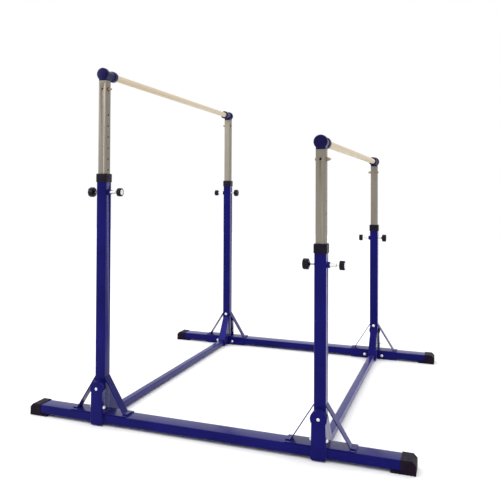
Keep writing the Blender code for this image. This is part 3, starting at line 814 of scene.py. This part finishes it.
SCREW_RADIUS = 0.005
SCREW_KNOB_RADIUS = 0.028
SCREW_KNOB_LENGTH = 0.030
SCREW_HUB = 0.007
SCREW_HUB_RADIUS = 0.013
SCREW_KNOB_EDGE = 0.005
LOBES = 8
LOBE_DEPTH = 0.003
THREAD = 0.0015
THREAD_DEPTH = 0.0007


def screw_shank(name, tip, end, level):
    """A thread shown as rings: the radius follows a triangle wave along the length, between root and crest."""
    runs = np.arange(tip + 0.001, end, THREAD / 2)
    crest = np.where(np.arange(len(runs)) % 2, SCREW_RADIUS, SCREW_RADIUS - THREAD_DEPTH)
    profile = [(0, tip), (SCREW_RADIUS - 0.0015, tip), *zip(crest, runs), (SCREW_RADIUS - THREAD_DEPTH, end), (0, end)]
    return turned(name, profile, (0, 0, level), (-1, 0, 0), 24, sharp=70)


for upright in uprights:
    name, level = upright["name"], upright["level"]
    low, high = own_box(upright, "_clamp_screw")
    start = -low[0] - SCREW_KNOB_LENGTH
    sizes = (SCREW_KNOB_RADIUS, SCREW_KNOB_LENGTH, SCREW_KNOB_EDGE, LOBES, LOBE_DEPTH)
    grip = knob(name + "_screw_knob", (-start, 0, level), (-1, 0, 0), *sizes)
    assemble(stood(grip, upright), PLASTIC, name + "_screw", name + "_clamp_screw")
    profile = [
        (0, start + 0.001),
        (SCREW_HUB_RADIUS, start + 0.001),
        (SCREW_HUB_RADIUS, start - 0.001),
        (SCREW_RADIUS + 0.003, start - SCREW_HUB + 0.001),
        (SCREW_RADIUS + 0.002, start - SCREW_HUB),
        (0, start - SCREW_HUB),
    ]
    hub = turned(name + "_screw_hub", profile, (0, 0, level), (-1, 0, 0), 40)
    assemble(stood(hub, upright), PLASTIC, name + "_screw")
    assemble(stood(screw_shank(name + "_screw_shank", -high[0], start, level), upright), ZINC, name + "_screw")


# ---- Bar fittings ----
# A cast iron head in dark blue enamel sits on each inner post. It is turned to a flange, a waist and a ring
# with the bar's socket, its neck plugs into the post, and a cross bolt with a conical nut holds it there.

FLANGE_LENGTH = 0.028
WAIST_RADIUS = 0.027
RING_START = 0.070
RING_RADIUS = 0.0315
SOCKET_DEPTH = 0.058
PLUG_LENGTH = 0.074
FITTING_DROP = 0.0365
NECK_RISE = 0.012
NECK_RUN = (-0.06, 0.06)
SET_SCREW_REACH = 0.058
SET_SCREW = [(0, 0.020), (0.004, 0.020), (0.004, 0.0325), (0.0035, 0.034), (0, 0.0342)]
CROSS_BOLT_RADIUS = 0.004
HEX_HEAD = [(0, 0), (0.0105, 0), (0.0105, 0.0015), (0.0085, 0.0018), (0.0085, 0.006), (0.0075, 0.0072), (0, 0.0075)]
NUT_COLLAR = [(0, 0), (0.0105, 0), (0.0105, 0.0018), (0.0095, 0.002), (0.0095, 0.009)]
NUT_CONE = [(0.0085, 0.011), (0.004, 0.021), (0.0015, 0.0225), (0, 0.0227)]


def dark_blue_enamel():
    """Near-black navy enamel over a slightly pebbled casting."""
    made = finish("navy_enamel", "dark_blue_cast_iron", (0.004, 0.003, 0.035), 0.28, gloss=0.25, sheen=(0.35, 0.3, 1))
    tint(made, grain(made, 40, 3), (0.003, 0.002, 0.026), (0.006, 0.005, 0.046))
    vary(made, grain(made, 90, 3), "Roughness", 0.26, 0.42)
    emboss(made, grain(made, 260, 3), 0.2, 0.0006)
    return made


def aged_steel():
    """Bare steel gone brown, with darker rust in its hollows."""
    made = finish("aged_steel", "zinc_plate", (0.30, 0.22, 0.14), 0.45, metallic=0.9)
    tint(made, grain(made, 220, 4), (0.16, 0.10, 0.06), (0.46, 0.37, 0.27))
    vary(made, grain(made, 300, 3), "Roughness", 0.35, 0.6)
    emboss(made, grain(made, 900, 2), 0.2, 0.0002)
    return made


def fitting_profile(low, high, flange, bore, socket):
    """From the socket's floor out to its mouth, over the ring, in to the waist, out over the flange and round to the
    middle of the outer face, with an arc of five steps at each turned edge."""
    corners = [
        (0, socket, 0),
        (bore, socket, 0.001),
        (bore, high, 0.002),
        (RING_RADIUS, high, 0.003),
        (RING_RADIUS, RING_START, 0.002),
        (WAIST_RADIUS, RING_START - 0.003, 0.003),
        (WAIST_RADIUS, low + FLANGE_LENGTH + 0.004, 0.004),
        (flange, low + FLANGE_LENGTH, 0.004),
        (flange, low, 0.008),
        (0, low, 0),
    ]
    return [(max(point.real, 0), point.imag) for point in rounded(corners, 5)]


CAST = dark_blue_enamel()
AGED = aged_steel()
for upright in uprights:
    name, rail, height = upright["name"], upright["rail"], upright["bar"]
    low, high = own_box(upright, "_bar_fitting")
    bar_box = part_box(upright["side"] + "_bar")
    bore = (bar_box[1].x - bar_box[0].x) / 2 + CLEAR
    profile = fitting_profile(low[1], high[1], high[2] - height, bore, high[1] - SOCKET_DEPTH)
    body = turned(name + "_bar_head", profile, (0, 0, height), (0, 1, 0), 72)
    post_half = own_box(upright, "_inner_post")[1][1]
    plug = 2 * post_half - 2 * TUBE_WALL - 2 * CLEAR
    neck = 2 * post_half
    seat = height - FITTING_DROP
    levels = [(neck, height - NECK_RISE), (neck, seat), (plug, seat), (plug, seat - PLUG_LENGTH)]
    post_part = skin(name + "_bar_neck", [square(width, INNER_CORNER, z) for width, z in levels])
    level = height - CROSS_BOLT_DROP
    cut(post_part, drill(BOLT_HOLE_RADIUS, NECK_RUN, level))
    cut(body, post_part, operation="UNION")
    assemble(stood(body, upright), CAST, rail, name + "_bar_fitting")
    head = turned(name + "_cross_bolt_head", HEX_HEAD, (-post_half, 0, level), (-1, 0, 0), 6)
    assemble(stood(head, upright), AGED, rail)
    cone = turned(name + "_cross_bolt_nut", NUT_COLLAR + NUT_CONE, (post_half, 0, level), (1, 0, 0), 32)
    assemble(stood(cone, upright), AGED, rail)
    profile = [(0, -post_half), (CROSS_BOLT_RADIUS, -post_half), (CROSS_BOLT_RADIUS, post_half), (0, post_half)]
    shaft = turned(name + "_cross_bolt_shaft", profile, (0, 0, level), (1, 0, 0), 24)
    assemble(stood(shaft, upright), ZINC, rail)
    set_screw = turned(name + "_set_screw", SET_SCREW, (0, SET_SCREW_REACH, height), (0, 0, 1), 24)
    assemble(stood(set_screw, upright), ZINC, rail)


# ---- Bars ----
# The two rails are straight-grained pale hardwood, turned round and lacquered. Their ends go into the fittings.


def pale_wood():
    """Growth bands stretched far along the bar, fine pores over them, and a thin satin lacquer."""
    made = finish("bar_wood", "pale_wood", (0.56, 0.47, 0.33), 0.42, gloss=0.3)
    tint(made, grain(made, 45, 4, (1, 0.02, 1)), (0.50, 0.40, 0.26), (0.60, 0.52, 0.39))
    vary(made, grain(made, 200, 3, (1, 0.03, 1)), "Roughness", 0.34, 0.52)
    emboss(made, grain(made, 500, 3, (1, 0.02, 1)), 0.15, 0.0002)
    return made


WOOD = pale_wood()
BAR_EDGE = 0.002

for side in ("left", "right"):
    node = side + "_bar"
    low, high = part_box(node)
    radius, length = (high.x - low.x) / 2, high.y - low.y
    profile = [(0, 0), (radius - BAR_EDGE, 0), (radius, BAR_EDGE)]
    profile += [(radius, length - BAR_EDGE), (radius - BAR_EDGE, length), (0, length)]
    start = ((low.x + high.x) / 2, low.y, (low.z + high.z) / 2)
    rail = turned(side + "_rail_bar", profile, start, (0, 1, 0), 64)
    assemble(rail, WOOD, side + "_rail", node)


# ---- Floor, light and camera ----
# A pale studio floor in an evenly lit white room, with a broad soft light straight overhead and a soft box in
# front of the high bar, on its outer side.

EYE = (1.2663, -4.0295, 1.2950)
YAW, PITCH, ROLL = -0.3684, -0.0151, 0.0049
LENS = 44.48
SHIFT = (0.0553, -0.1326)
SOFT_BOX = (-1.9, -1.5, 2.4)
SOFT_BOX_AIM = (-0.62, 1.0, 1.7)
FLOOR_HALF = 15


def plain(name, colour, roughness):
    """A matt studio surface with a very faint mottle."""
    made = finish(name, "studio", colour, roughness, gloss=0.1)
    tint(made, grain(made, 2, 2), colour, tuple(0.97 * part for part in colour))
    return made


ground = [(FLOOR_HALF * x, FLOOR_HALF * y, 0) for x, y in ((-1, -1), (1, -1), (1, 1), (-1, 1))]
floor_mesh = bpy.data.meshes.new("studio_floor")
floor_mesh.from_pydata(ground, [], [(0, 1, 2, 3)])
floor = bpy.data.objects.new("studio_floor", floor_mesh)
bpy.context.scene.collection.objects.link(floor)
floor_mesh.materials.append(plain("studio_floor", (0.90, 0.90, 0.90), 0.9))

world = bpy.data.worlds.new("studio")
world.use_nodes = True
sky = world.node_tree.nodes["Background"]
sky.inputs["Color"].default_value = (1.0, 1.0, 1.0, 1)
sky.inputs["Strength"].default_value = 1.0
bpy.context.scene.world = world

ceiling = bpy.data.lights.new("ceiling", "SUN")
ceiling.energy = 1.2
ceiling.angle = 2.0
bpy.context.scene.collection.objects.link(bpy.data.objects.new("ceiling", ceiling))
soft_box = bpy.data.lights.new("soft_box", "AREA")
soft_box.size = 1.2
soft_box.energy = 20
lamp = bpy.data.objects.new("soft_box", soft_box)
bpy.context.scene.collection.objects.link(lamp)
lamp.location = SOFT_BOX
lamp.rotation_euler = (Vector(SOFT_BOX_AIM) - lamp.location).to_track_quat("-Z", "Y").to_euler()

bpy.context.scene.view_settings.view_transform = "Standard"
ahead = Vector((math.sin(YAW) * math.cos(PITCH), math.cos(YAW) * math.cos(PITCH), -math.sin(PITCH)))
right = Vector((math.cos(YAW), -math.sin(YAW), 0))
above = right.cross(ahead)
across = math.cos(ROLL) * right + math.sin(ROLL) * above
above = math.cos(ROLL) * above - math.sin(ROLL) * right
lens = bpy.data.cameras.new("camera")
lens.lens = LENS
lens.shift_x, lens.shift_y = SHIFT
camera = bpy.data.objects.new("camera", lens)
bpy.context.scene.collection.objects.link(camera)
camera.matrix_world = Matrix.Translation(EYE) @ Matrix((across, above, -ahead)).transposed().to_4x4()
bpy.context.scene.camera = camera
